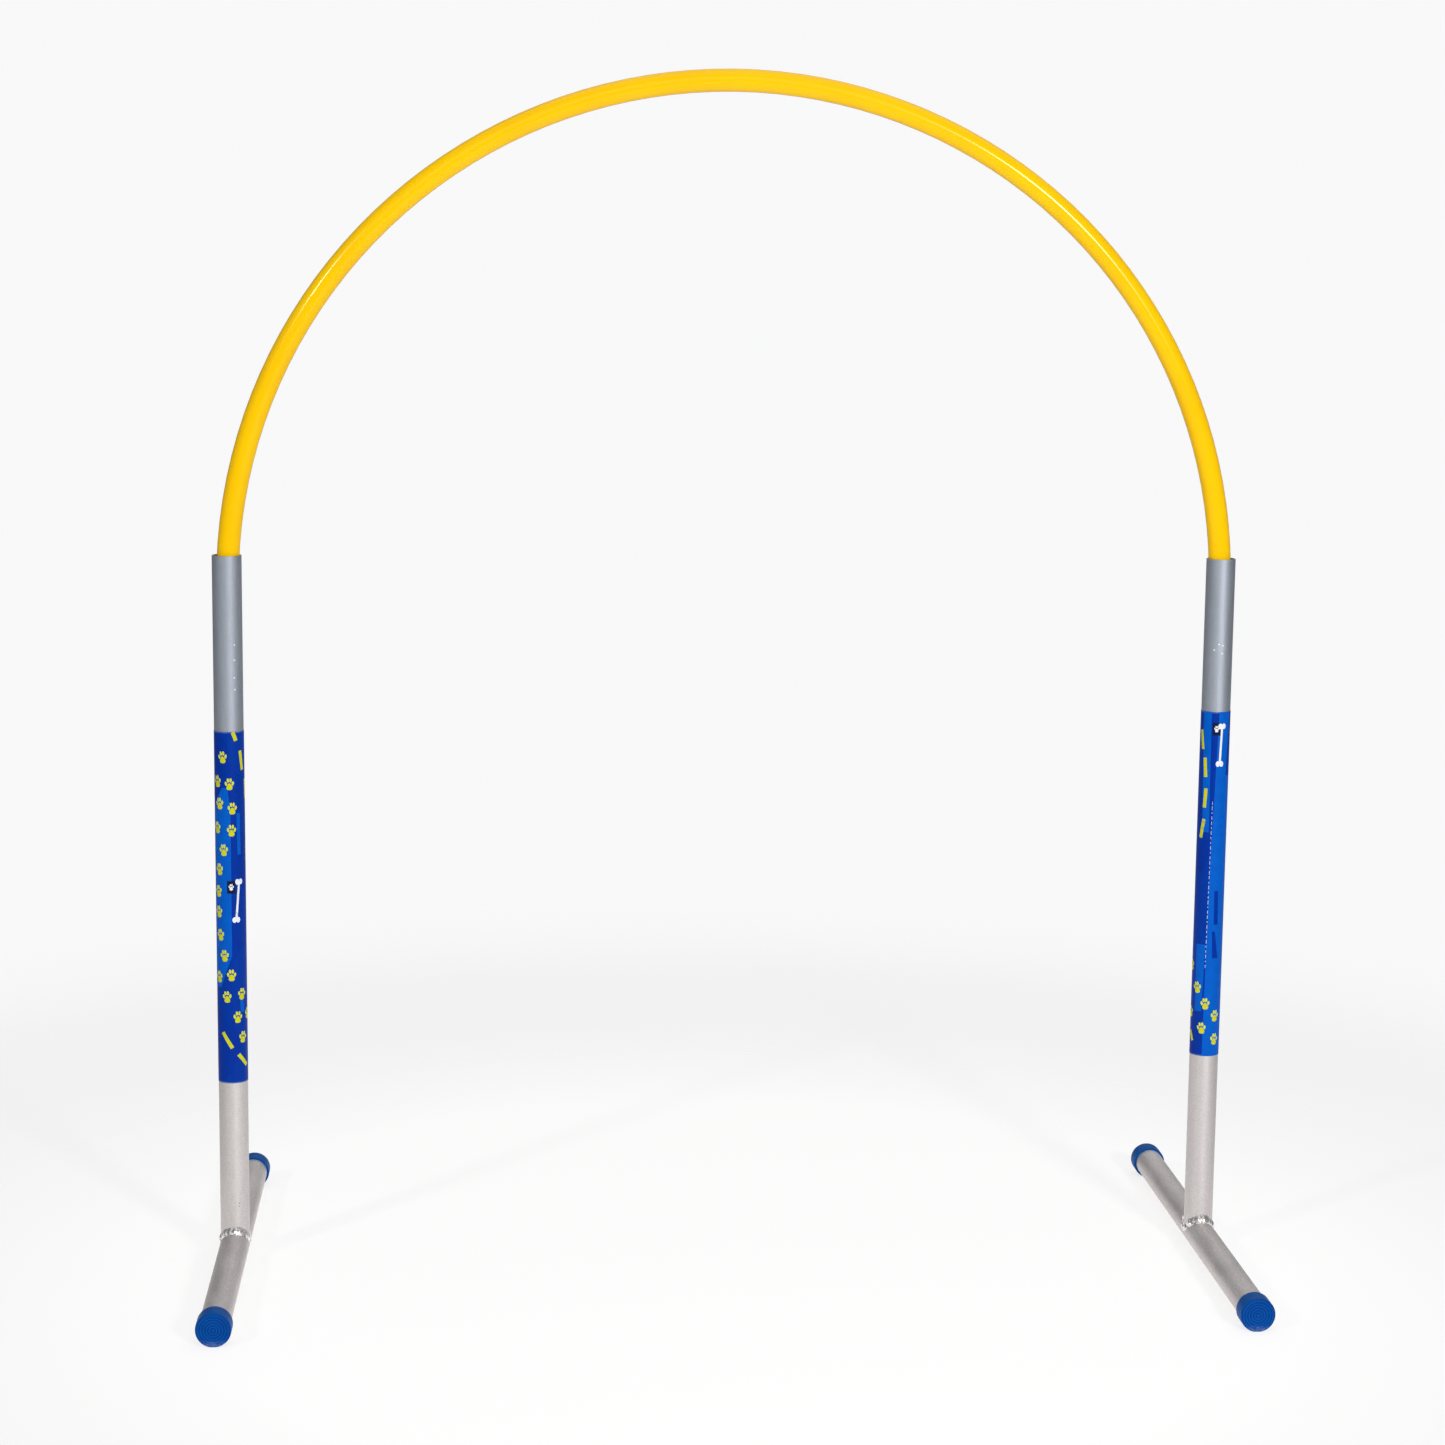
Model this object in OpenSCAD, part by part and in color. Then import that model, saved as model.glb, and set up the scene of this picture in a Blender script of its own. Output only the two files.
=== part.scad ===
// Agility hoop: a bent plastic pipe whose two ends stand in a pair of T-shaped aluminium feet.
// The origin is on the floor midway between the feet. +X is right, +Y is to the rear, +Z is up.

/* [Bow] */
// Outside diameter of the bow's pipe
bow_od = 19; // [17:0.5:19.5]
// Wall thickness of the bow's pipe
bow_wall = 2; // [1.5:0.25:3]
// Length of each pipe end that stands inside an upright
insert_depth = 83; // [60:1:100]
// Depth below the mouth at which the pipe starts to bend
bend_depth = 26; // [10:1:30]
// How far the pipe ends stand inward of the uprights' axes
bow_inset = 0.5; // [0:0.1:0.8]

/* [Feet] */
// Distance between the two uprights, centre to centre
foot_spacing = 850; // [800:5:900]
// Outside diameter of every aluminium tube
tube_od = 25; // [24.5:0.1:26]
// Wall thickness of every aluminium tube
tube_wall = 1.2; // [1:0.1:1.4]
// Height of each upright's open mouth above the floor
mouth_height = 615; // [560:1:660]
// Length of the tube that lies on the floor
foot_length = 444; // [360:2:600]
// How far the weld bead reaches out from the two tubes
weld_reach = 3.2; // [1.5:0.1:3.5]

/* [End caps] */
// Length of a cap from its open rim to its closed end
cap_length = 17; // [15:1:30]
// Thickness of a cap's side wall
cap_wall = 2.05; // [1.5:0.05:2.5]
// Thickness of a cap's closed end
cap_end = 3; // [2:0.5:4]
// Depth of the flat moulded along the underside of a cap
cap_flat = 0.5; // [0.4:0.1:1.1]
// Number of fine ring grooves on a cap's end face
cap_rings = 5; // [2:1:5]

/* [Printed film] */
// Thickness of the film wrapped round each upright
film_thickness = 0.25; // [0.15:0.05:0.5]
// Length of the film along the upright
film_length = 306; // [200:2:340]
// Height of the film's lower edge on the left foot
left_film_height = 160; // [100:1:180]
// Height of the film's lower edge on the right foot
right_film_height = 177; // [100:1:180]

/* [Pipe stop] */
// Length of the plug that the pipe end stands on
stop_length = 16; // [10:1:24]
// Radial clearance of the plug in the upright's bore
stop_clearance = 0.05; // [0.02:0.01:0.1]

/* [Hidden] */
$fn = 96;

LEFT = -1;
RIGHT = 1;
FRONT = -1;
REAR = 1;

tube_r = tube_od / 2;
bore_r = tube_r - tube_wall;
cap_r = tube_r + cap_wall;
foot_axis_z = cap_r - cap_flat;

// The bow is a half circle on two straight ends
stop_z = mouth_height - insert_depth;
bend_z = mouth_height - bend_depth;
bow_radius = foot_spacing / 2 - bow_inset;

cap_round = 1.8;          // radius of a cap's outer edge
ring_r = 0.35;            // radius of a ring groove's section
ring_pitch = 2.3;         // distance between ring grooves
cope_trim = 2;            // height above the foot's axis at which the coped end is squared off
weld_start = 0.5;         // height above the foot's axis at which the bead starts
stop_chamfer = 1;         // chamfer on the plug's ends
stop_groove = 0.8;        // depth of the groove round the plug's middle
stop_groove_width = 4;    // width of that groove
over = 1;                 // how far a cutting shape runs past what it cuts

module at_foot(side) {
    translate([side * foot_spacing / 2, 0, 0]) children();
}

module along_foot(radius, length) {
    translate([0, 0, foot_axis_z])
        rotate([90, 0, 0])
            cylinder(r = radius, h = length, center = true);
}

module pipe_section() {
    difference() {
        circle(r = bow_od / 2);
        circle(r = bow_od / 2 - bow_wall);
    }
}

module bow_pipe() {
    color("gold") {
        translate([0, 0, bend_z])
            rotate([90, 0, 0])
                rotate_extrude(angle = 180)
                    translate([bow_radius, 0])
                        pipe_section();
        for (side = [LEFT, RIGHT])
            translate([side * bow_radius, 0, stop_z])
                linear_extrude(bend_z - stop_z)
                    pipe_section();
    }
}

// The upright's lower end is coped to sit on the foot tube
module upright_tube() {
    color("lightsteelblue")
        difference() {
            translate([0, 0, foot_axis_z + cope_trim])
                cylinder(r = tube_r, h = mouth_height - foot_axis_z - cope_trim);
            cylinder(r = bore_r, h = mouth_height + over);
            along_foot(tube_r, 4 * tube_r);
        }
}

module foot_tube() {
    color("silver")
        difference() {
            along_foot(tube_r, foot_length);
            along_foot(bore_r, foot_length + 2 * over);
        }
}

// Saddle-shaped bead in the corner between the upright and the foot tube
module weld_bead() {
    color("gainsboro")
        difference() {
            intersection() {
                translate([0, 0, foot_axis_z + weld_start])
                    cylinder(r = tube_r + weld_reach, h = 2 * tube_r);
                along_foot(tube_r + 0.9 * weld_reach, 4 * tube_r);
            }
            cylinder(r = tube_r, h = 4 * tube_r);
            along_foot(tube_r, 5 * tube_r);
        }
}

module cap_profile() {
    difference() {
        union() {
            square([cap_r, cap_length - cap_round]);
            square([cap_r - cap_round, cap_length]);
            translate([cap_r - cap_round, cap_length - cap_round])
                circle(r = cap_round);
        }
        translate([0, -over])
            square([tube_r, cap_length - cap_end + over]);
        for (ring = [1 : cap_rings])
            translate([ring * ring_pitch, cap_length])
                circle(r = ring_r);
    }
}

module end_cap(end) {
    color("royalblue")
        difference() {
            translate([0, end * (foot_length / 2 + cap_end - cap_length), foot_axis_z])
                rotate([-end * 90, 0, 0])
                    rotate_extrude()
                        cap_profile();
            translate([-cap_r, end > 0 ? 0 : -foot_length, -2 * cap_r])
                cube([2 * cap_r, foot_length, 2 * cap_r]);
        }
}

module printed_film(lower_edge) {
    color("mediumblue")
        translate([0, 0, lower_edge])
            difference() {
                cylinder(r = tube_r + film_thickness, h = film_length);
                translate([0, 0, -over])
                    cylinder(r = tube_r, h = film_length + 2 * over);
            }
}

// Turned plug inside the upright, with a groove round its middle that locks it in the tube
module pipe_stop() {
    plug_r = bore_r - stop_clearance;
    color("dimgray")
        translate([0, 0, stop_z - stop_length])
            rotate_extrude()
                polygon([
                    [0, 0],
                    [plug_r - stop_chamfer, 0],
                    [plug_r, stop_chamfer],
                    [plug_r, (stop_length - stop_groove_width) / 2],
                    [plug_r - stop_groove, (stop_length - stop_groove_width) / 2],
                    [plug_r - stop_groove, (stop_length + stop_groove_width) / 2],
                    [plug_r, (stop_length + stop_groove_width) / 2],
                    [plug_r, stop_length - stop_chamfer],
                    [plug_r - stop_chamfer, stop_length],
                    [0, stop_length]
                ]);
}

bow_pipe();
at_foot(LEFT) upright_tube();  // left_upright_tube
at_foot(RIGHT) upright_tube();  // right_upright_tube
at_foot(LEFT) foot_tube();  // left_foot_tube
at_foot(RIGHT) foot_tube();  // right_foot_tube
at_foot(LEFT) weld_bead();  // left_weld_bead
at_foot(RIGHT) weld_bead();  // right_weld_bead
at_foot(LEFT) end_cap(FRONT);  // left_front_cap
at_foot(RIGHT) end_cap(FRONT);  // right_front_cap
at_foot(LEFT) end_cap(REAR);  // left_rear_cap
at_foot(RIGHT) end_cap(REAR);  // right_rear_cap
at_foot(LEFT) printed_film(left_film_height);  // left_printed_film
at_foot(RIGHT) printed_film(right_film_height);  // right_printed_film
at_foot(LEFT) pipe_stop();  // left_pipe_stop
at_foot(RIGHT) pipe_stop();  // right_pipe_stop
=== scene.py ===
"""Looks of an agility hoop: a yellow pipe bow standing in two T-shaped aluminium feet.

Lengths are in metres, except where a name ends in _mm and in the printed pattern, which is set out in
millimetres. Round each upright, an angle of 0 degrees faces the front (-Y) and grows towards +X.
"""

import math

import bmesh
import bpy
from mathutils import Matrix, Vector, noise


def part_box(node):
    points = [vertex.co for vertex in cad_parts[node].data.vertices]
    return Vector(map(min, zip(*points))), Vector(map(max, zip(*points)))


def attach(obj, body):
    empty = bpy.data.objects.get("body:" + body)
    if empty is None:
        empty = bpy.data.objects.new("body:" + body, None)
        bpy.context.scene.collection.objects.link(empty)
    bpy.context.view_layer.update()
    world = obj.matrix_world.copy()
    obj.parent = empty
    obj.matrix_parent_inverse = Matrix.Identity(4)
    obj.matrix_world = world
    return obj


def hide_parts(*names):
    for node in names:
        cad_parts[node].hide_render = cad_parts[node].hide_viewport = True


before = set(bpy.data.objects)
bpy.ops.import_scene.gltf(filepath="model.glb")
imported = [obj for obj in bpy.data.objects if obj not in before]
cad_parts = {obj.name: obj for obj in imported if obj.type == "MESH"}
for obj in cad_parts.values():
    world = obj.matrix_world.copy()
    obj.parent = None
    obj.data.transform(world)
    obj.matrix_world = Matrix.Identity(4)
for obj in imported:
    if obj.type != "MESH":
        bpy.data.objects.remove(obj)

bpy.context.view_layer.update()

MM = 0.001
SIDES = ("left", "right")
ENDS = ("front", "rear")

# Colours of the printed film
NAVY = (0.0, 0.028, 0.30)
DEEP_BLUE = (0.0, 0.050, 0.36)
ROYAL = (0.0, 0.105, 0.54)
LIME = (0.60, 0.60, 0.014)
PALE_LIME = (0.64, 0.68, 0.05)
WHITE = (0.82, 0.84, 0.88)
NIGHT = (0.006, 0.010, 0.035)
WORN_FILM = (0.35, 0.42, 0.60)

# Colours of the bow
GOLD = (0.97, 0.55, 0.0)
YELLOW = (0.99, 0.60, 0.0)
DRAW_LINE = (0.80, 0.38, 0.0)
SCUFFED_YELLOW = (0.97, 0.70, 0.12)

# Colours of the bare aluminium
COOL_METAL = (0.385, 0.435, 0.51)
# A warm tone for the uprights near the floor, painted lighter there as painted reflection of the white
# floor
FLOOR_LIT_WARM_METAL = (0.76, 0.72, 0.705)
DULL_METAL = (0.68, 0.63, 0.615)
LIGHT_METAL = (0.82, 0.77, 0.75)
# A blue tint for painted reflection in long streaks along the tubes
PAINTED_REFLECTION_BLUE = (0.40, 0.46, 0.52)
GREY_METAL = (0.40, 0.39, 0.40)
DARK_GRAIN = (0.28, 0.26, 0.26)
SHINY_LINE = (0.80, 0.80, 0.82)
NICK = (0.90, 0.92, 0.95)
PIT = (0.03, 0.03, 0.03)
WELD_METAL = (0.90, 0.88, 0.87)
SOOT = (0.26, 0.24, 0.24)

# Colours of the caps and plugs
CAP_BLUE = (0.0, 0.040, 0.235)
CAP_LIGHTER_BLUE = (0.0, 0.050, 0.275)
# Lighter blues: painted sheen on the cap's side and painted highlights on the rings of its end
CAP_SIDE_SHEEN = (0.0, 0.105, 0.345)
CAP_RING_HIGHLIGHT = (0.0, 0.115, 0.40)
DUST = (0.22, 0.30, 0.44)
PLUG_DARK = (0.035, 0.036, 0.038)
PLUG_GREY = (0.070, 0.071, 0.073)

# Studio: colours and strengths of the backdrop and floor, and where the floor fades, in metres
BACKDROP = (0.945, 0.945, 0.950)
FILL_LIGHT = (0.96, 0.98, 1.0)
FILL_STRENGTH = 0.21
FLOOR_WHITE = (0.80, 0.79, 0.78)
FLOOR_GLOW = (1.0, 0.99, 0.98)
FLOOR_RADIUS = 4.0
FLOOR_SHOWN = 0.38
FLOOR_FADE = (0.35, 1.5)
# The floor's glow is a painted pool of light round the feet, which also lights the object from below
GLOW_STRENGTH = 0.45
GLOW_FADE = (0.5, 1.1)


# ---------------------------------------------------------------- what the frame says

class Arch:
    """The bow's pipe: a half circle of this radius on two straight ends."""

    def __init__(self):
        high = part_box("bow_pipe")[1]
        pipe_r = high.y
        self.radius = high.x - pipe_r
        self.bend_z = high.z - high.x


class Foot:
    """One foot: its upright, the tube on the floor and the film round the upright."""

    def __init__(self, side):
        low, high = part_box(f"{side}_upright_tube")
        film_low, film_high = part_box(f"{side}_printed_film")
        base_low, base_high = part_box(f"{side}_foot_tube")
        self.side = side
        self.body = f"{side}_foot"
        self.x = (low.x + high.x) / 2
        self.tube_r = (high.x - low.x) / 2
        self.film_r = (film_high.x - film_low.x) / 2
        self.film_low_z = film_low.z
        self.film_high_z = film_high.z
        self.base_z = (base_low.z + base_high.z) / 2
        self.cap_end_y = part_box(f"{side}_rear_cap")[1].y

    def on_film(self, around_mm, up_mm, lift):
        """Point at an arc length round the film and a height above its lower edge."""
        turn = around_mm * MM / self.film_r
        radius = self.film_r + lift
        return Vector((
            self.x + radius * math.sin(turn),
            -radius * math.cos(turn),
            self.film_low_z + up_mm * MM,
        ))

    def arc_mm(self, degrees):
        """Arc length on the film that this angle covers."""
        return math.radians(degrees) * self.film_r / MM


arch = Arch()
feet = {side: Foot(side) for side in SIDES}


# ---------------------------------------------------------------- materials

class Shader:
    """A Principled material and short ways to add nodes to it."""

    def __init__(self, name, **plain):
        self.material = bpy.data.materials.new(name)
        self.material.use_nodes = True
        self.tree = self.material.node_tree
        self.surface = self.tree.nodes["Principled BSDF"]
        for socket, value in plain.items():
            self.surface.inputs[socket.replace("_", " ")].default_value = value

    def node(self, kind, settings=None, **inputs):
        made = self.tree.nodes.new(kind)
        for key, value in (settings or {}).items():
            setattr(made, key, value)
        for socket, value in inputs.items():
            self.feed(made.inputs[socket.replace("_", " ")], value)
        return made

    def feed(self, socket, value):
        if isinstance(value, bpy.types.NodeSocket):
            self.tree.links.new(value, socket)
        else:
            socket.default_value = value

    def drive(self, socket, value):
        self.feed(self.surface.inputs[socket], value)

    def math(self, operation, a, b=0.0):
        made = self.node("ShaderNodeMath", {"operation": operation})
        self.feed(made.inputs[0], a)
        self.feed(made.inputs[1], b)
        return made.outputs[0]

    def add(self, a, b):
        return self.math("ADD", a, b)

    def times(self, a, b):
        return self.math("MULTIPLY", a, b)

    def length(self, a, b):
        """Length of the line whose two parts at right angles are a and b."""
        return self.math("SQRT", self.add(self.times(a, a), self.times(b, b)))

    def xyz(self):
        coordinates = self.node("ShaderNodeTexCoord").outputs["Object"]
        split = self.node("ShaderNodeSeparateXYZ", Vector=coordinates)
        return split.outputs["X"], split.outputs["Y"], split.outputs["Z"]

    def vector(self, x, y, z):
        return self.node("ShaderNodeCombineXYZ", X=x, Y=y, Z=z).outputs[0]

    def stretched(self, xyz, axis, share):
        """The place with one axis scaled down, so that a noise there runs long along it."""
        return self.vector(*[self.times(c, share) if i == axis else c for i, c in enumerate(xyz)])

    def noise(self, vector, scale, detail=2.0, roughness=0.5):
        made = self.node(
            "ShaderNodeTexNoise", Vector=vector, Scale=scale, Detail=detail, Roughness=roughness
        )
        return made.outputs["Fac"]

    def span(self, value, low, high, out_low=0.0, out_high=1.0, curve="LINEAR"):
        """Maps low..high to out_low..out_high and stops at the ends."""
        made = self.node("ShaderNodeMapRange", {"clamp": True, "interpolation_type": curve})
        for socket, number in zip(made.inputs, (value, low, high, out_low, out_high)):
            self.feed(socket, number)
        return made.outputs[0]

    def mix(self, factor, a, b):
        """Colour a where the factor is 0 and colour b where it is 1."""
        made = self.node("ShaderNodeMix", {"data_type": "RGBA"})
        self.feed(made.inputs["Factor"], factor)
        self.feed(made.inputs[6], (*a, 1) if isinstance(a, tuple) else a)
        self.feed(made.inputs[7], (*b, 1) if isinstance(b, tuple) else b)
        return made.outputs[2]

    def bump(self, height, strength, depth_mm):
        made = self.node("ShaderNodeBump", Height=height, Strength=strength, Distance=depth_mm * MM)
        self.drive("Normal", made.outputs[0])

    def spots(self, xyz, centres, radius_mm):
        """1 inside the ragged spots round these points, and 0 outside them."""
        place = self.vector(*xyz)
        ragged = self.times(self.noise(place, 900.0), radius_mm * MM)
        found = 0.0
        for centre in centres:
            apart = self.node("ShaderNodeVectorMath", {"operation": "DISTANCE"})
            self.feed(apart.inputs[0], place)
            self.feed(apart.inputs[1], tuple(centre))
            inside = self.span(
                self.add(apart.outputs["Value"], ragged),
                radius_mm * MM, 1.3 * radius_mm * MM, 1.0, 0.0,
            )
            found = self.math("MAXIMUM", found, inside)
        return found


def bow_plastic():
    """Glossy extruded plastic: fine draw lines along it, a faint drift of tint, scuffs near the sockets."""
    shader = Shader(
        "bow_plastic_look", IOR=1.5, Specular_IOR_Level=0.26, Specular_Tint=(1.0, 0.94, 0.68, 1)
    )
    x, y, z = shader.xyz()
    height_over_bend = shader.add(z, -arch.bend_z)
    above = shader.math("MAXIMUM", height_over_bend, 0.0)
    below = shader.math("MINIMUM", height_over_bend, 0.0)
    outward = shader.add(shader.length(x, above), -arch.radius)
    along = shader.add(shader.times(shader.math("ARCTAN2", above, x), arch.radius), below)

    lines = shader.noise(shader.vector(outward, y, shader.times(along, 0.012)), 1700.0, 3.0, 0.6)
    drift = shader.noise(shader.vector(outward, y, along), 9.0, 3.0)
    haze = shader.noise(shader.vector(outward, y, shader.times(along, 0.2)), 260.0, 4.0, 0.6)
    worn = shader.span(z, arch.bend_z - 0.02, arch.bend_z + 0.07, 1.0, 0.0)
    scratch = shader.noise(shader.vector(shader.times(x, 6.0), y, shader.times(z, 0.4)), 420.0, 4.0, 0.7)
    scratch = shader.times(shader.span(scratch, 0.60, 0.68), worn)

    colour = shader.mix(shader.span(drift, 0.35, 0.65), GOLD, YELLOW)
    colour = shader.mix(shader.span(lines, 0.35, 0.75, 0.0, 0.04), colour, DRAW_LINE)
    colour = shader.mix(shader.times(scratch, 0.35), colour, SCUFFED_YELLOW)
    shader.drive("Base Color", colour)
    rough = shader.span(haze, 0.3, 0.7, 0.155, 0.165)
    shader.drive("Roughness", shader.add(rough, shader.times(scratch, 0.2)))
    height = shader.add(shader.times(lines, 0.7), shader.times(scratch, -0.5))
    shader.bump(height, 0.012, 0.02)
    return shader.material


def drawn_aluminium(name, along, grain_scale, rough_range, base_tone, nicks_at=(), pits_at=()):
    """Bare tube drawn along one axis: dull lines along it, long streaks of painted reflection in a blue
    tint, blotches, bright nicks and dark pits.

    base_tone makes the colour under all of these from the shader, the height and the blotches.
    """
    shader = Shader(name, Metallic=1.0)
    xyz = shader.xyz()
    lines = shader.noise(shader.stretched(xyz, along, 0.02), 2600.0, 4.0, 0.65)
    # Long streaks of a blue tint along the tube: painted reflection of coloured surroundings
    reflection_bands = shader.noise(shader.stretched(xyz, along, 0.02), 120.0, 2.0, 0.5)
    blotches = shader.noise(shader.stretched(xyz, along, 0.25), 70.0, 5.0, 0.6)
    grain = shader.noise(shader.vector(*xyz), grain_scale, 3.0, 0.6)
    nicks = shader.spots(xyz, nicks_at, 1.0)
    pits = shader.spots(xyz, pits_at, 0.6)

    tone = base_tone(shader, xyz[2], blotches)
    tone = shader.mix(shader.span(reflection_bands, 0.42, 0.60, 0.0, 0.10), tone, PAINTED_REFLECTION_BLUE)
    tone = shader.mix(shader.span(blotches, 0.3, 0.7, 0.0, 0.10), tone, GREY_METAL)
    tone = shader.mix(shader.span(grain, 0.38, 0.62, 0.0, 0.34), tone, DARK_GRAIN)
    tone = shader.mix(shader.span(lines, 0.35, 0.7, 0.0, 0.16), tone, SHINY_LINE)
    tone = shader.mix(nicks, tone, NICK)
    tone = shader.mix(pits, tone, PIT)
    shader.drive("Base Color", tone)
    shader.drive("Metallic", shader.math("SUBTRACT", 1.0, nicks))
    rough = shader.span(lines, 0.3, 0.7, *rough_range)
    shader.drive("Roughness", shader.add(rough, shader.span(blotches, 0.3, 0.7, -0.03, 0.06)))
    height = shader.add(shader.times(lines, 0.8), shader.times(grain, 0.35))
    height = shader.add(height, shader.times(shader.add(nicks, pits), -3.0))
    shader.bump(height, 0.3, 0.05)
    return shader.material


def upright_tone(shader, height, blotches):
    """Warm near the floor and cool near the mouth, and painted lighter near the floor as painted reflection
    of the white floor.
    """
    return shader.mix(shader.span(height, 0.25, 0.42), FLOOR_LIT_WARM_METAL, COOL_METAL)


def foot_tube_tone(shader, height, blotches):
    """Two warm greys in blotches."""
    return shader.mix(shader.span(blotches, 0.35, 0.65), DULL_METAL, LIGHT_METAL)


def weld_aluminium():
    """Bright frozen weld metal with a little soot in patches."""
    shader = Shader("weld_look", Metallic=1.0)
    place = shader.vector(*shader.xyz())
    ripple = shader.noise(place, 420.0, 3.0, 0.5)
    soot = shader.noise(place, 240.0, 4.0, 0.6)
    shader.drive("Base Color", shader.mix(shader.span(soot, 0.52, 0.68), WELD_METAL, SOOT))
    shader.drive("Roughness", shader.span(soot, 0.4, 0.7, 0.26, 0.5))
    shader.bump(ripple, 0.4, 0.25)
    return shader.material


# Rings on a cap's end face, painted lighter as painted highlights, and how much lighter its side is painted
# as painted sheen
RING_PITCH_MM = 2.3
PAINTED_SIDE_SHEEN = 0.45


def cap_plastic(foot):
    """Soft blue slip-on plastic: fine rings on its end painted lighter as painted highlights, a side
    painted lighter as painted sheen, dust low down, moulded grain.
    """
    shader = Shader("cap_plastic_look", IOR=1.5, Specular_IOR_Level=0.05)
    x, y, z = shader.xyz()
    place = shader.vector(x, y, z)
    grain = shader.noise(place, 2400.0, 3.0, 0.6)
    cloud = shader.noise(place, 110.0, 3.0, 0.5)
    dust = shader.noise(place, 700.0, 4.0, 0.7)

    off_axis = shader.add(shader.math("ABSOLUTE", x), -foot.x)
    reach = shader.length(off_axis, shader.add(z, -foot.base_z))
    rings = shader.math("SINE", shader.times(reach, 2 * math.pi / (RING_PITCH_MM * MM)))
    from_middle = shader.math("ABSOLUTE", y)
    on_end = shader.span(from_middle, foot.cap_end_y - 1.5 * MM, foot.cap_end_y - 0.5 * MM)
    # Painted sheen makes the side lighter, and painted highlights make the end's rings lighter
    painted_sheen_share = shader.math("SUBTRACT", PAINTED_SIDE_SHEEN, shader.times(on_end, PAINTED_SIDE_SHEEN))
    ring_highlights = shader.times(shader.span(rings, 0.2, 0.9, 0.0, 0.55), on_end)
    low_down = shader.span(z, 0.001, 0.006, 0.5, 0.0)
    low_dust = shader.times(low_down, shader.span(dust, 0.4, 0.6))
    dusty = shader.add(shader.span(dust, 0.60, 0.74, 0.0, 0.06), low_dust)

    colour = shader.mix(shader.span(cloud, 0.35, 0.65), CAP_BLUE, CAP_LIGHTER_BLUE)
    colour = shader.mix(painted_sheen_share, colour, CAP_SIDE_SHEEN)
    colour = shader.mix(ring_highlights, colour, CAP_RING_HIGHLIGHT)
    colour = shader.mix(dusty, colour, DUST)
    shader.drive("Base Color", colour)
    shader.drive("Roughness", shader.span(cloud, 0.3, 0.7, 0.38, 0.50))
    shader.bump(grain, 0.35, 0.05)
    return shader.material


def film_vinyl(foot):
    """Dark blue printed film: flat shards of slightly different blues, tiny wrinkles, worn edges."""
    shader = Shader(f"{foot.side}_film_look", IOR=1.5, Specular_IOR_Level=0.06)
    x, y, z = shader.xyz()
    place = shader.vector(shader.add(x, -foot.x), y, shader.times(z, 0.35))
    shards = shader.node("ShaderNodeTexVoronoi", {"feature": "F1"}, Vector=place, Scale=75.0)
    wrinkle = shader.noise(shader.vector(x, y, shader.times(z, 0.12)), 120.0, 3.0, 0.5)
    speck = shader.noise(shader.vector(x, y, z), 2200.0, 2.0, 0.6)
    shade = shader.node("ShaderNodeSeparateColor", Color=shards.outputs["Color"]).outputs[0]
    colour = shader.mix(shader.times(shade, 0.45), NAVY, DEEP_BLUE)
    over_low_edge = shader.add(z, -foot.film_low_z)
    under_high_edge = shader.math("SUBTRACT", foot.film_high_z, z)
    edge = shader.math("MINIMUM", over_low_edge, under_high_edge)
    worn = shader.times(shader.span(edge, 0.0002, 0.0014, 1.0, 0.0), shader.span(speck, 0.45, 0.65))
    colour = shader.mix(worn, colour, WORN_FILM)
    shader.drive("Base Color", colour)
    shader.drive("Roughness", shader.span(wrinkle, 0.3, 0.7, 0.30, 0.42))
    shader.bump(shader.add(wrinkle, shader.times(speck, 0.05)), 0.25, 0.12)
    return shader.material


def ink(name, colour, darker):
    """Printed ink with a little dot-to-dot variation."""
    shader = Shader(name, IOR=1.5, Specular_IOR_Level=0.06)
    place = shader.vector(*shader.xyz())
    dots = shader.noise(place, 1500.0, 2.0, 0.6)
    patch = shader.noise(place, 130.0, 2.0, 0.5)
    shader.drive("Base Color", shader.mix(shader.span(patch, 0.35, 0.65, 0.0, 0.5), colour, darker))
    shader.drive("Roughness", shader.span(dots, 0.3, 0.7, 0.32, 0.44))
    shader.bump(dots, 0.15, 0.03)
    return shader.material


def plug_plastic():
    """Dark turned plug with fine rings left by the tool round its side."""
    shader = Shader("stop_plastic_look", IOR=1.45)
    x, y, z = shader.xyz()
    rings = shader.noise(shader.vector(0.0, 0.0, z), 4500.0, 2.0, 0.5)
    grey = shader.noise(shader.vector(x, y, z), 300.0, 3.0, 0.6)
    shader.drive("Base Color", shader.mix(grey, PLUG_DARK, PLUG_GREY))
    shader.drive("Roughness", shader.span(rings, 0.3, 0.7, 0.45, 0.6))
    shader.bump(rings, 0.4, 0.05)
    return shader.material


def dress(node, material):
    """Gives a CAD node this material in every material slot."""
    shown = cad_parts[node]
    for slot in shown.material_slots:
        slot.material = material


# ---------------------------------------------------------------- printed pattern

# How far each print stands out of the film, and how far all of them reach into it
LEVELS = {
    "light_shards": 0.02,
    "dark_shards": 0.035,
    "paw_pads": 0.05,
    "paw_toes": 0.05,
    "tag": 0.05,
    "bone": 0.065,
    "free_edge": 0.12,
}
SUNK = 0.02

# The longest step of a print's mesh round the tube and up it
STEP_AROUND = 1.2
STEP_UP = 12

# Angles at which the trails of paws start over
FRONT_AND_REAR = (0, 180)


def square_grid(columns, rows):
    """Points from (-1, -1) to (1, 1), row by row."""
    return [
        [(-1 + 2 * i / columns, -1 + 2 * j / rows) for i in range(columns + 1)]
        for j in range(rows + 1)
    ]


def turned(centre, across, up, degrees):
    """The point across and up from the centre, after turning anticlockwise about it."""
    cos_turn, sin_turn = math.cos(math.radians(degrees)), math.sin(math.radians(degrees))
    return (
        centre[0] + across * cos_turn - up * sin_turn,
        centre[1] + across * sin_turn + up * cos_turn,
    )


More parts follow.
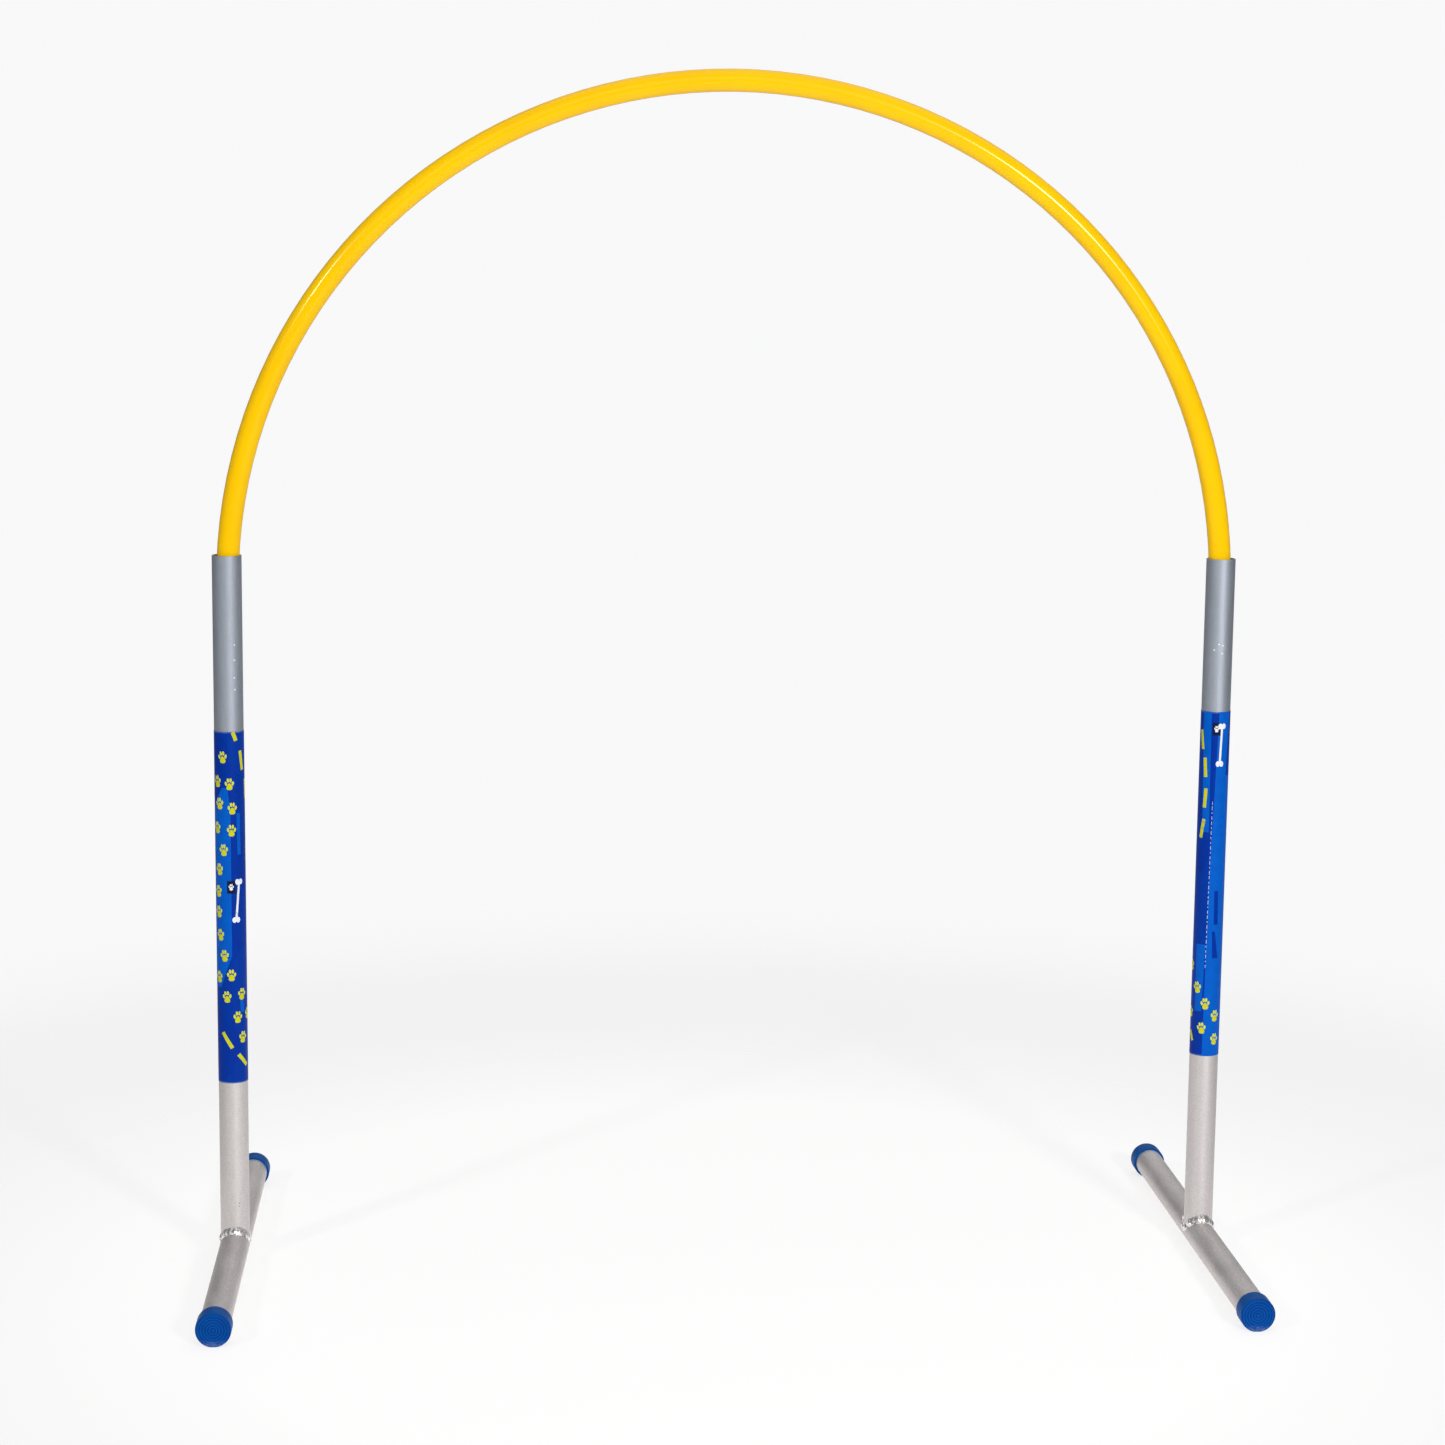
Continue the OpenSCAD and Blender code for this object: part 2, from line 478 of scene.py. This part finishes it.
class Print:
    """One print on one film: thin closed sheets of one material, bent round the tube."""

    def __init__(self, foot, name, material):
        self.foot = foot
        self.name = f"{foot.side}_print_{name}"
        self.material = material
        self.lift = LEVELS[name] * MM
        self.mesh = bmesh.new()

    def bent(self, rows, lift):
        return [[self.mesh.verts.new(self.foot.on_film(u, v, lift)) for u, v in row] for row in rows]

    def sheet(self, rows):
        """Closes a grid of (around, up) points in millimetres into a thin bent sheet."""
        outer = self.bent(rows, self.lift)
        inner = self.bent(rows, -SUNK * MM)
        last_row, last = len(rows) - 1, len(rows[0]) - 1
        for j in range(last_row):
            for i in range(last):
                corners = ((j, i), (j, i + 1), (j + 1, i + 1), (j + 1, i))
                self.mesh.faces.new([outer[a][b] for a, b in corners])
                self.mesh.faces.new([inner[a][b] for a, b in reversed(corners)])
        rim = [(0, i) for i in range(last)] + [(j, last) for j in range(last_row)]
        rim += [(last_row, i) for i in range(last, 0, -1)] + [(j, 0) for j in range(last_row, 0, -1)]
        for (a, b), (c, d) in zip(rim, rim[1:] + rim[:1]):
            self.mesh.faces.new((outer[a][b], inner[a][b], inner[c][d], outer[c][d]))

    def patch(self, corners):
        """A four-cornered patch: corners in order round it, in millimetres."""
        a, b, c, d = corners
        wide = max(abs(b[0] - a[0]), abs(c[0] - d[0]))
        shifted = max(abs(d[0] - a[0]), abs(c[0] - b[0]))
        tall = max(abs(d[1] - a[1]), abs(c[1] - b[1]))
        columns = max(1, math.ceil(wide / STEP_AROUND))
        rows = max(1, math.ceil(shifted / STEP_AROUND), math.ceil(tall / STEP_UP))
        grid = []
        for j in range(rows + 1):
            start, end = [[p[k] + (q[k] - p[k]) * j / rows for k in (0, 1)] for p, q in ((a, d), (b, c))]
            grid.append([
                tuple(start[k] + (end[k] - start[k]) * i / columns for k in (0, 1))
                for i in range(columns + 1)
            ])
        self.sheet(grid)

    def facet(self, low_up, low_angles, high_up, high_angles):
        """A shard between two heights, with its left and right angle in degrees at each."""
        arc = self.foot.arc_mm
        self.patch((
            (arc(low_angles[0]), low_up), (arc(low_angles[1]), low_up),
            (arc(high_angles[1]), high_up), (arc(high_angles[0]), high_up),
        ))

    def blob(self, centre, half_width, half_height, tilt=0.0, lobes=0.0):
        """An oval, or with lobes above 0 a rounded three-lobed pad, tilted anticlockwise in degrees."""
        rows = []
        for row in square_grid(4, 4):
            made = []
            for s, t in row:
                a, b = s * math.sqrt(1 - t * t / 2), t * math.sqrt(1 - s * s / 2)
                swell = 1 + lobes * math.cos(3 * (math.atan2(b, a) - math.pi / 2))
                made.append(turned(centre, a * half_width * swell, b * half_height * swell, tilt))
            rows.append(made)
        self.sheet(rows)

    def bar(self, centre, width, length, tilt=0.0):
        """A straight dash, tilted anticlockwise from upright in degrees."""
        corners = ((-0.5, -0.5), (0.5, -0.5), (0.5, 0.5), (-0.5, 0.5))
        self.patch([turned(centre, a * width, b * length, tilt) for a, b in corners])

    def finish(self):
        data = bpy.data.meshes.new(self.name)
        bmesh.ops.recalc_face_normals(self.mesh, faces=self.mesh.faces)
        self.mesh.to_mesh(data)
        self.mesh.free()
        data.materials.append(self.material)
        piece = bpy.data.objects.new(self.name, data)
        bpy.context.scene.collection.objects.link(piece)
        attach(piece, self.foot.body)


# A paw print 1 mm tall: its pad, then how far each toe is across and up, and how far it leans in degrees
PAD_UP = -0.19
PAD_SIZE = (0.21, 0.25)
PAD_LOBES = 0.12
TOES = ((-0.245, 0.06, 12), (-0.095, 0.29, 4), (0.095, 0.29, -4), (0.245, 0.06, -12))
TOE_SIZE = (0.085, 0.16)
PAW_HEIGHT = 11.8


def stamp_paw(pads, toes, centre, tilt, height=PAW_HEIGHT):
    pad = turned(centre, 0, PAD_UP * height, tilt)
    pads.blob(pad, PAD_SIZE[0] * height, PAD_SIZE[1] * height, tilt, PAD_LOBES)
    for across, up, lean in TOES:
        toe = turned(centre, across * height, up * height, tilt)
        toes.blob(toe, TOE_SIZE[0] * height, TOE_SIZE[1] * height, tilt + lean)


# Paw trails as (degrees round the upright, height above the film's lower edge)
PAW_TRAILS = {
    "left": (
        (-22, 284), (4, 261), (14, 240), (10, 221), (-22, 204), (-43, 187), (-50, 168), (-49, 150),
        (-42, 130), (-24, 112), (3, 95), (45, 78), (80, 60),
        (-48, 263), (-38, 244), (-52, 223),
        (-52, 93), (-16, 76), (26, 58), (48, 40),
    ),
    "right": (
        (-92, 80), (-51, 61), (-15, 47), (-89, 38), (-27, 25), (27, 36), (28, 15),
    ),
}

# Tilt of a paw facing straight to the front, and how much more it tilts at the sides, in degrees
PAW_TILT = 2
PAW_SWAY = 9

# Dashes as (degrees, height, tilt, length), and the width of each
DASH_WIDTH = 3.3
DASHES = {
    "left": (
        (25, 302, 20, 8), (55, 281, 8, 17), (84, 256, 3, 17), (92, 202, 0, 17),
        (-16, 38, 32, 16), (47, 20, 40, 14),
    ),
    "right": (
        (-68, 281, 8, 17), (-48, 257, 4, 17), (-44, 230, -3, 17), (-53, 203, -10, 17), (-78, 17, 24, 10),
    ),
}

# Lighter and darker shards as (lower height, its two angles, upper height, its two angles)
LIGHT_SHARDS = {
    "left": (
        (112, (-110, 6), 238, (-110, 7)),
        (84, (-110, -40), 112, (-110, 6)),
        (238, (-80, 7), 258, (-25, -4)),
        (200, (32, 47), 236, (30, 45)),
        (62, (38, 56), 75, (36, 52)),
        (60, (140, 175), 220, (135, 190)),
        (220, (135, 190), 252, (150, 165)),
    ),
    "right": (
        (0, (-22, 110), 160, (-16, 110)),
        (160, (-16, 110), 306, (2, 110)),
        (40, (-60, -30), 100, (-62, -22)),
        (200, (-52, -24), 306, (-66, -28)),
        (70, (150, 190), 240, (145, 200)),
    ),
}
DARK_SHARDS = {
    "left": ((120, (7, 34), 196, (8, 22)), (258, (-70, -20), 300, (-55, -30))),
    "right": ((118, (8, 26), 148, (6, 22)), (88, (6, 30), 112, (2, 14)), (250, (40, 70), 306, (52, 90))),
}


def print_shards(foot, name, material, outlines):
    shards = Print(foot, name, material)
    for outline in outlines:
        shards.facet(*outline)
    shards.finish()


def print_trails(foot):
    """Paw trails and dashes, once at the front and once at the rear."""
    arc = foot.arc_mm
    pads = Print(foot, "paw_pads", inks["lime"])
    toes = Print(foot, "paw_toes", inks["pale_lime"])
    for around in FRONT_AND_REAR:
        for degrees, up in PAW_TRAILS[foot.side]:
            tilt = PAW_TILT - PAW_SWAY * math.sin(math.radians(degrees))
            stamp_paw(pads, toes, (arc(around + degrees), up), tilt)
        for degrees, up, tilt, length in DASHES[foot.side]:
            pads.bar((arc(around + degrees), up), DASH_WIDTH, length, tilt)
    pads.finish()
    toes.finish()


# The plain mark on each film: where its tag and its bone stand as (degrees, height), and the bone's tilt
MARKS = {"left": ((6, 172), (31, 160), -5), "right": ((-7, 291), (12, 277), -2)}
TAG_SIZE = (7.0, 11.0)
TAG_PAW_HEIGHT = 6.5
BONE_SIZE = (1.9, 33.0)
KNOB_SIZE = (1.9, 2.5)
KNOB_ACROSS = 1.6

# Row of small strokes on the right film: the first one's angle and height, the step to the next, sizes
STROKES = 34
STROKE_START = (-13.5, 226)
STROKE_STEP = (-0.2, -4.4)
STROKE_WIDTH = 0.3
STROKE_LENGTH = 2.4
STROKE_UNEVEN = 1.1


def print_mark(foot):
    """A small dark tag with a white paw on it, and a white dog bone beside it."""
    (tag_angle, tag_up), (bone_angle, bone_up), tilt = MARKS[foot.side]
    tag_place = (foot.arc_mm(tag_angle), tag_up)
    tag = Print(foot, "tag", inks["night"])
    tag.bar(tag_place, *TAG_SIZE)
    tag.finish()

    white = Print(foot, "bone", inks["white"])
    stamp_paw(white, white, tag_place, 0, TAG_PAW_HEIGHT)
    bone_x = foot.arc_mm(bone_angle)
    white.bar((bone_x, bone_up), *BONE_SIZE, tilt)
    lean = math.tan(math.radians(-tilt))
    for up in (-BONE_SIZE[1] / 2, BONE_SIZE[1] / 2):
        for across in (-KNOB_ACROSS, KNOB_ACROSS):
            white.blob((bone_x + across + up * lean, bone_up + up), *KNOB_SIZE)
    if foot.side == "right":
        add_strokes(foot, white)
    white.finish()


def add_strokes(foot, white):
    """A row of short strokes of uneven length that runs down the film."""
    for i in range(STROKES):
        angle, up = [start + step * i for start, step in zip(STROKE_START, STROKE_STEP)]
        length = STROKE_LENGTH + STROKE_UNEVEN * math.sin(2.3 * i)
        white.bar((foot.arc_mm(angle), up), STROKE_WIDTH, length)


# The film's free edge: its angle, its width and how much shorter it is than the film
FREE_EDGE_ANGLE = 177
FREE_EDGE_WIDTH = 0.9
FREE_EDGE_SHORT = 0.3


def film_edge(foot, material):
    """The raised free edge of the film, which runs down the rear of the upright."""
    edge = Print(foot, "free_edge", material)
    length = (foot.film_high_z - foot.film_low_z) / MM
    edge.bar((foot.arc_mm(FREE_EDGE_ANGLE), length / 2), FREE_EDGE_WIDTH, length - FREE_EDGE_SHORT)
    edge.finish()


# ---------------------------------------------------------------- weld bead

class Bead:
    """A hand-laid weld bead along the saddle-shaped corner between an upright and its foot tube.

    It is widest at the front and rear, and it has ripples and lumps.
    """

    STEPS = 220            # sections round the upright
    ARC = 8                # steps across the bead's round face
    LEG = 4.2 * MM         # how far the bead reaches along each tube
    CROWN = 1.4 * MM       # how far its face swells out
    RIPPLE = 3.6 * MM      # distance from one ripple to the next
    TOE = 0.12 * MM        # thickness at its edges
    SUNK = 0.5 * MM        # depth of its edges inside the tubes
    ROOT = 0.7 * MM        # depth of its middle inside the tubes
    LUMP_SCALE = 190       # lumps are larger where this is smaller
    ROUNDED_SIDE = 0.012   # rounds the corner's line where it passes the tube's side
    NEARBY = 0.01          # turn in radians between two points that give the corner's direction

    def __init__(self, foot):
        self.foot = foot

    def corner(self, turn):
        """The corner's point at this angle round the upright, from the foot tube's axis."""
        r = self.foot.tube_r
        rise = min(math.sqrt(math.sin(turn) ** 2 + self.ROUNDED_SIDE), 1.0)
        return Vector((math.cos(turn), math.sin(turn), rise)) * r

    def section(self, turn, travelled):
        """The bead's outline at this angle: its round face, then its hidden root."""
        here = self.corner(turn)
        along = (self.corner(turn + self.NEARBY) - self.corner(turn - self.NEARBY)).normalized()
        off_upright = Vector((here.x, here.y, 0)).normalized()
        off_base = Vector((here.x, 0, here.z)).normalized()
        up_leg = off_upright.cross(along).normalized()
        down_leg = along.cross(off_base).normalized()
        out = (off_upright + off_base).normalized()
        wave = abs(math.sin(math.pi * travelled / self.RIPPLE)) ** 0.7
        other_lumps = Vector((self.foot.x * 50, 0, 0))
        lump = noise.noise(here * self.LUMP_SCALE + other_lumps)
        to_end = math.sin(turn) ** 2
        leg = self.LEG * (0.48 + 0.68 * to_end + 0.10 * wave + 0.30 * lump)
        crown = self.CROWN * (0.35 + 0.30 * to_end + 0.35 * wave + 1.1 * lump)
        centre = Vector((self.foot.x, 0, self.foot.base_z))
        points = []
        for i in range(self.ARC + 1):
            share = i / self.ARC
            chord = up_leg * leg * (1 - share) ** 1.2 + down_leg * leg * share ** 1.2
            swell = crown * math.sin(math.pi * share) + self.TOE
            points.append(centre + here + chord + out * swell)
        points.append(centre + here + down_leg * leg - off_base * self.SUNK)
        points.append(centre + here - out * self.ROOT)
        points.append(centre + here + up_leg * leg - off_upright * self.SUNK)
        return points

    def build(self, material):
        mesh = bmesh.new()
        step = 2 * math.pi / self.STEPS
        travelled = 0.0
        rings = []
        for i in range(self.STEPS):
            rings.append([mesh.verts.new(p) for p in self.section(i * step, travelled)])
            travelled += (self.corner((i + 1) * step) - self.corner(i * step)).length
        for ring, following in zip(rings, rings[1:] + rings[:1]):
            for k in range(len(ring)):
                n = (k + 1) % len(ring)
                mesh.faces.new((ring[k], ring[n], following[n], following[k]))
        bmesh.ops.recalc_face_normals(mesh, faces=mesh.faces)
        name = f"{self.foot.side}_weld"
        data = bpy.data.meshes.new(name)
        mesh.to_mesh(data)
        mesh.free()
        data.materials.append(material)
        for polygon in data.polygons:
            polygon.use_smooth = True
        piece = bpy.data.objects.new(name, data)
        bpy.context.scene.collection.objects.link(piece)
        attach(piece, self.foot.body)
        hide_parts(f"{self.foot.side}_weld_bead")


# ---------------------------------------------------------------- floor, light and camera

def pale_world():
    """Pale behind the object for the camera, and a dimmer even light for everything else."""
    world = bpy.data.worlds.new("studio")
    bpy.context.scene.world = world
    world.use_nodes = True
    nodes, links = world.node_tree.nodes, world.node_tree.links
    nodes.clear()
    path = nodes.new("ShaderNodeLightPath")
    seen = nodes.new("ShaderNodeBackground")
    seen.inputs["Color"].default_value = (*BACKDROP, 1)
    fill = nodes.new("ShaderNodeBackground")
    fill.inputs["Color"].default_value = (*FILL_LIGHT, 1)
    fill.inputs["Strength"].default_value = FILL_STRENGTH
    mix = nodes.new("ShaderNodeMixShader")
    out = nodes.new("ShaderNodeOutputWorld")
    links.new(path.outputs["Is Camera Ray"], mix.inputs[0])
    links.new(fill.outputs[0], mix.inputs[1])
    links.new(seen.outputs[0], mix.inputs[2])
    links.new(mix.outputs[0], out.inputs["Surface"])


def floor_look():
    """Matt white, with a painted pool of light that glows round its middle and lights the object from
    below. It fades out with distance for the camera, but other rays meet all of it.
    """
    shader = Shader(
        "floor",
        Base_Color=(*FLOOR_WHITE, 1),
        Roughness=1.0,
        Specular_IOR_Level=0.0,
        Emission_Color=(*FLOOR_GLOW, 1),
    )
    away = shader.node("ShaderNodeVectorMath", {"operation": "LENGTH"})
    shader.feed(away.inputs[0], shader.node("ShaderNodeTexCoord").outputs["Object"])
    distance = away.outputs["Value"]
    # Painted pool of light: the floor glows near its middle and fades out further away
    shader.drive("Emission Strength", shader.span(distance, *GLOW_FADE, GLOW_STRENGTH, 0.0))

    shown = shader.span(distance, *FLOOR_FADE, FLOOR_SHOWN, 0.0, "SMOOTHSTEP")
    to_camera = shader.node("ShaderNodeLightPath").outputs["Is Camera Ray"]
    solid = shader.math("MAXIMUM", shader.math("SUBTRACT", 1.0, to_camera), shown)
    mix = shader.node("ShaderNodeMixShader")
    shader.feed(mix.inputs[0], solid)
    shader.feed(mix.inputs[1], shader.node("ShaderNodeBsdfTransparent").outputs[0])
    shader.feed(mix.inputs[2], shader.surface.outputs[0])
    shader.feed(shader.tree.nodes["Material Output"].inputs["Surface"], mix.outputs[0])
    return shader.material


def pale_floor():
    """A round white floor that fades out into the pale background."""
    mesh = bmesh.new()
    bmesh.ops.create_circle(mesh, cap_ends=True, segments=96, radius=FLOOR_RADIUS)
    data = bpy.data.meshes.new("floor")
    mesh.to_mesh(data)
    mesh.free()
    data.materials.append(floor_look())
    floor = bpy.data.objects.new("floor", data)
    bpy.context.scene.collection.objects.link(floor)


# Lights as (name, place, point it faces, width, height, watts)
LIGHTS = (
    ("main_flash", (1.08, -2.80, 1.31), (0, 0, 0.5), 0.32, 0.32, 46),
    ("left_flash", (-2.63, -2.70, 2.33), (0, 0, 0.6), 0.24, 0.24, 34),
    ("front_fill", (-0.2, -3.8, 2.6), (0, 0, 0.6), 3.0, 1.6, 18),
    ("top", (0.3, 0.4, 3.2), (0, 0, 0.3), 3.4, 3.4, 28),
    ("rear", (0.8, 3.6, 2.0), (0, 0, 0.5), 4.0, 2.4, 17),
)


def softbox(name, place, aim, width, height, watts):
    data = bpy.data.lights.new(name, "AREA")
    data.shape = "RECTANGLE"
    data.size = width
    data.size_y = height
    data.energy = watts
    light = bpy.data.objects.new(name, data)
    bpy.context.scene.collection.objects.link(light)
    light.location = place
    light.rotation_euler = (Vector(aim) - Vector(place)).to_track_quat("-Z", "Y").to_euler()


# The camera: its place, its turn to the left, look down and roll in radians, its lens and sensor in mm
CAMERA_PLACE = (-0.2026, -2.6534, 0.8794)
CAMERA_YAW = -0.0745
CAMERA_DOWN = 0.1519
CAMERA_ROLL = 0.0110
CAMERA_LENS = 78.06
CAMERA_SENSOR = 36


def photographer():
    """The camera, at waist height a little left of the middle, turned slightly to the right."""
    data = bpy.data.cameras.new("camera")
    data.sensor_width = CAMERA_SENSOR
    data.lens = CAMERA_LENS
    camera = bpy.data.objects.new("camera", data)
    bpy.context.scene.collection.objects.link(camera)
    turn = Matrix.Rotation(CAMERA_YAW, 4, "Z") @ Matrix.Rotation(math.pi / 2 - CAMERA_DOWN, 4, "X")
    turn = turn @ Matrix.Rotation(CAMERA_ROLL, 4, "Z")
    camera.matrix_world = Matrix.Translation(CAMERA_PLACE) @ turn
    bpy.context.scene.camera = camera


# ---------------------------------------------------------------- the object

inks = {
    "royal": ink("ink_royal", ROYAL, (0.0, 0.085, 0.47)),
    "navy": ink("ink_navy", NAVY, (0.0, 0.034, 0.32)),
    "lime": ink("ink_lime", LIME, (0.55, 0.56, 0.015)),
    "pale_lime": ink("ink_pale_lime", PALE_LIME, LIME),
    "white": ink("ink_white", WHITE, (0.70, 0.74, 0.82)),
    "night": ink("ink_night", NIGHT, (0.010, 0.014, 0.045)),
}

# Nicks and pits on the uprights as (degrees, height above the floor)
NICKS = {
    "left": ((31, 0.540), (30, 0.527), (29, 0.512), (31, 0.502)),
    "right": ((-28, 0.537), (4, 0.534), (6, 0.541), (-9, 0.542)),
}
PITS = {"left": ((23, 0.053), (22, 0.050)), "right": ()}


def on_upright(foot, marks):
    """The marks' places on the upright's surface."""
    return [
        (
            foot.x + foot.tube_r * math.sin(math.radians(degrees)),
            -foot.tube_r * math.cos(math.radians(degrees)),
            height,
        )
        for degrees, height in marks
    ]


cap_look = cap_plastic(feet["right"])
plug_look = plug_plastic()
weld_look = weld_aluminium()
base_look = drawn_aluminium(
    "foot_tube_look", along=1, grain_scale=620.0, rough_range=(0.54, 0.64), base_tone=foot_tube_tone
)
dress("bow_pipe", bow_plastic())
for foot in feet.values():
    upright_look = drawn_aluminium(
        f"{foot.side}_upright_look",
        along=2,
        grain_scale=1300.0,
        rough_range=(0.52, 0.60),
        base_tone=upright_tone,
        nicks_at=on_upright(foot, NICKS[foot.side]),
        pits_at=on_upright(foot, PITS[foot.side]),
    )
    film_look = film_vinyl(foot)
    dress(f"{foot.side}_upright_tube", upright_look)
    dress(f"{foot.side}_foot_tube", base_look)
    dress(f"{foot.side}_printed_film", film_look)
    dress(f"{foot.side}_pipe_stop", plug_look)
    for end in ENDS:
        dress(f"{foot.side}_{end}_cap", cap_look)
    print_shards(foot, "light_shards", inks["royal"], LIGHT_SHARDS[foot.side])
    print_shards(foot, "dark_shards", inks["navy"], DARK_SHARDS[foot.side])
    print_trails(foot)
    print_mark(foot)
    film_edge(foot, film_look)
    Bead(foot).build(weld_look)

pale_world()
pale_floor()
for light in LIGHTS:
    softbox(*light)
photographer()
bpy.context.scene.view_settings.view_transform = "Standard"
